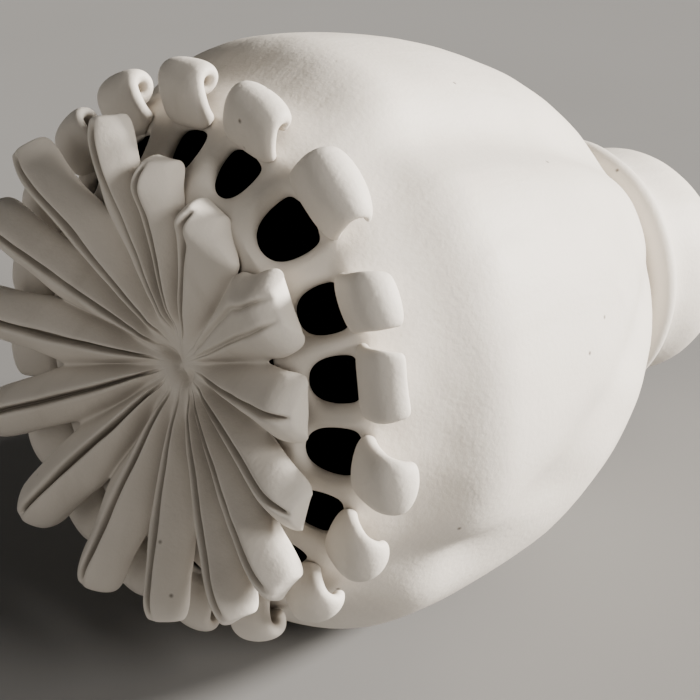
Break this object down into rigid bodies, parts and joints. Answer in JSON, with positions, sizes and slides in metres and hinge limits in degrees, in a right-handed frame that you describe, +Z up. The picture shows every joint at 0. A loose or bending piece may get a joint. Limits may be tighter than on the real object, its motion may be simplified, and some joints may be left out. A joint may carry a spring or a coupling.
{
  "type": "poppy seed head",
  "caption": "Ripe poppy seed head lying on its side: a hollow lobed capsule with a ring of pores under curled valve flaps, a dished rayed disc on top, and a short cut stem.",
  "frame": {"origin": "middle of the small flat spot that the head lies on", "axes": "+Z up; +X from the rayed disc towards the cut stem, with the stem end tipped 10 degrees down"},
  "size_m": [0.2022, 0.1298, 0.1302],
  "materials": {
    "capsule": "matt, unglazed off-white fired clay",
    "stigma_disc": "matt, unglazed off-white fired clay",
    "stem": "matt, unglazed off-white fired clay"
  },
  "bodies": {
    "root": {"capsule": "capsule", "stigma_disc": "stigma_disc", "stem": "stem"}
  },
  "joints": []
}
